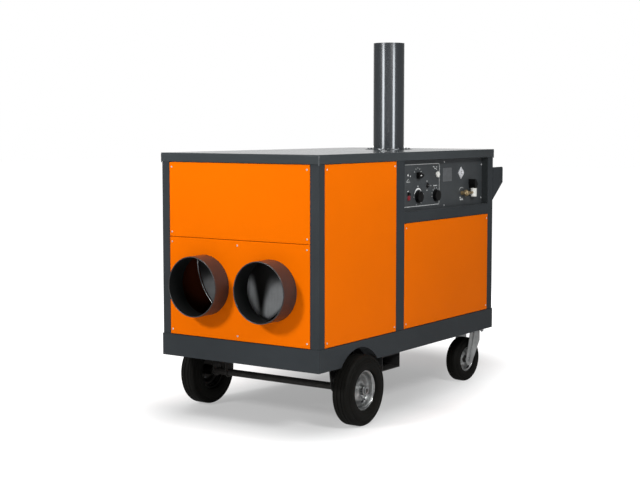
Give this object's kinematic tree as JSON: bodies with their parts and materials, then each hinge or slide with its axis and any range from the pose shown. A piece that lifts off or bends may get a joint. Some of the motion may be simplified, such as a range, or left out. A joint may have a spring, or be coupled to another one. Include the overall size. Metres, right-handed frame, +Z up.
{
  "type": "indirect fired space heater",
  "caption": "Mobile indirect fired space heater: orange and anthracite cabinet on wheels and castors, round hot air outlets, flue, side control panel and push handle.",
  "frame": {"origin": "centre of the footprint, on the floor under the wheels", "axes": "+Z up, -Y towards the air outlets, +X towards the controls; Y is the longest extent and X the shortest"},
  "size_m": [1.199, 2.259, 2.193],
  "materials": {
    "frame_paint": "satin anthracite powder coat",
    "panel_paint": "satin orange powder coat",
    "under_paint": "satin black paint",
    "outlet_paint": "glossy dark brown enamel",
    "flue_paint": "satin dark grey heat paint",
    "zinc": "bright zinc plate",
    "steel_sheet": "matt stainless sheet",
    "motor_paint": "grey enamel",
    "burner_paint": "red enamel",
    "tyre": "black tyre rubber",
    "black_plastic": "black moulded plastic",
    "white_plastic": "white moulded plastic",
    "grey_plastic": "light grey moulded plastic",
    "brass": "dull machined brass"
  },
  "bodies": {
    "frame": {"base_end_rails": "frame_paint", "base_rail_left": "frame_paint", "base_rail_right": "frame_paint", "post_front_left": "frame_paint", "post_front_right": "frame_paint", "post_rear_left": "frame_paint", "post_rear_right": "frame_paint", "mid_posts": "frame_paint", "front_rail": "frame_paint", "control_rail": "frame_paint", "lid": "frame_paint", "intake_grille": "frame_paint", "control_tray": "frame_paint", "flue_flange": "frame_paint", "handle_gussets": "frame_paint", "handle_bar": "frame_paint", "front_panel_upper": "panel_paint", "front_panel_lower": "panel_paint", "side_panel_right_front": "panel_paint", "side_panel_right_rear": "panel_paint", "side_panel_left_front": "panel_paint", "side_panel_left_rear": "panel_paint", "rear_panel": "panel_paint", "base_floor": "under_paint", "cross_rails": "under_paint", "lift_channel": "under_paint", "axle_hangers": "under_paint", "axle": "under_paint", "relay_box": "under_paint", "air_outlet_left": "outlet_paint", "air_outlet_right": "outlet_paint", "flue_pipe": "flue_paint", "panel_screws": "zinc", "axle_nuts": "zinc", "castor_plates": "zinc", "heat_exchanger": "steel_sheet", "fan_bulkhead": "steel_sheet", "fan_motor": "motor_paint", "burner": "burner_paint", "filter_head": "black_plastic", "filter_bowl": "white_plastic", "power_socket": "grey_plastic", "fuel_elbow": "brass"},
    "wheel_left": {"wheel_tyre_left": "tyre", "wheel_rim_left": "zinc"},
    "wheel_right": {"wheel_tyre_right": "tyre", "wheel_rim_right": "zinc"},
    "castor_left": {"castor_fork_left": "zinc"},
    "castor_right": {"castor_fork_right": "zinc"},
    "castor_wheel_left": {"castor_tyre_left": "tyre", "castor_rim_left": "zinc"},
    "castor_wheel_right": {"castor_tyre_right": "tyre", "castor_rim_right": "zinc"},
    "fan": {"fan_impeller": "zinc"},
    "selector": {"selector_knob": "black_plastic"},
    "room_dial": {"room_dial_knob": "black_plastic"},
    "heat_dial": {"heat_dial_knob": "black_plastic"},
    "toggle": {"toggle_lever": "black_plastic"},
    "rocker": {"rocker_switch": "black_plastic"},
    "reset": {"reset_button": "white_plastic"}
  },
  "joints": [
    {"name": "wheel_left_spin", "type": "hinge", "parent": "frame", "child": "wheel_left", "pos_m": [-0.542, -0.6145, 0.2], "axis": [1, 0, 0], "continuous": true},
    {"name": "wheel_right_spin", "type": "hinge", "parent": "frame", "child": "wheel_right", "pos_m": [0.542, -0.6145, 0.2], "axis": [1, 0, 0], "continuous": true},
    {"name": "castor_left_swivel", "type": "hinge", "parent": "frame", "child": "castor_left", "pos_m": [-0.407, 0.9255, 0.324], "axis": [0, 0, 1], "continuous": true},
    {"name": "castor_right_swivel", "type": "hinge", "parent": "frame", "child": "castor_right", "pos_m": [0.407, 0.9255, 0.324], "axis": [0, 0, 1], "continuous": true},
    {"name": "castor_left_roll", "type": "hinge", "parent": "castor_left", "child": "castor_wheel_left", "pos_m": [-0.40026, 0.86638, 0.143], "axis": [0.9936, 0.1132, 0], "continuous": true},
    {"name": "castor_right_roll", "type": "hinge", "parent": "castor_right", "child": "castor_wheel_right", "pos_m": [0.40026, 0.86638, 0.143], "axis": [0.9936, -0.1132, 0], "continuous": true},
    {"name": "fan_spin", "type": "hinge", "parent": "frame", "child": "fan", "pos_m": [0, 0.7275, 0.735], "axis": [0, 1, 0], "continuous": true},
    {"name": "selector_turn", "type": "hinge", "parent": "frame", "child": "selector", "pos_m": [0.5, 0.0985, 1.371], "axis": [1, 0, 0], "range_deg": [0, 150]},
    {"name": "room_dial_turn", "type": "hinge", "parent": "frame", "child": "room_dial", "pos_m": [0.5, 0.1025, 1.243], "axis": [1, 0, 0], "range_deg": [-135, 135]},
    {"name": "heat_dial_turn", "type": "hinge", "parent": "frame", "child": "heat_dial", "pos_m": [0.5, 0.3145, 1.243], "axis": [1, 0, 0], "range_deg": [-135, 135]},
    {"name": "toggle_flip", "type": "hinge", "parent": "frame", "child": "toggle", "pos_m": [0.503, 0.2135, 1.307], "axis": [0, 1, 0], "range_deg": [-12, 12]},
    {"name": "rocker_tip", "type": "hinge", "parent": "frame", "child": "rocker", "pos_m": [0.5, -0.0115, 1.249], "axis": [0, 1, 0], "range_deg": [-12, 0]},
    {"name": "reset_push", "type": "slide", "parent": "frame", "child": "reset", "axis": [1, 0, 0], "range_m": [-0.003, 0], "stiffness_N_per_m": 300}
  ]
}
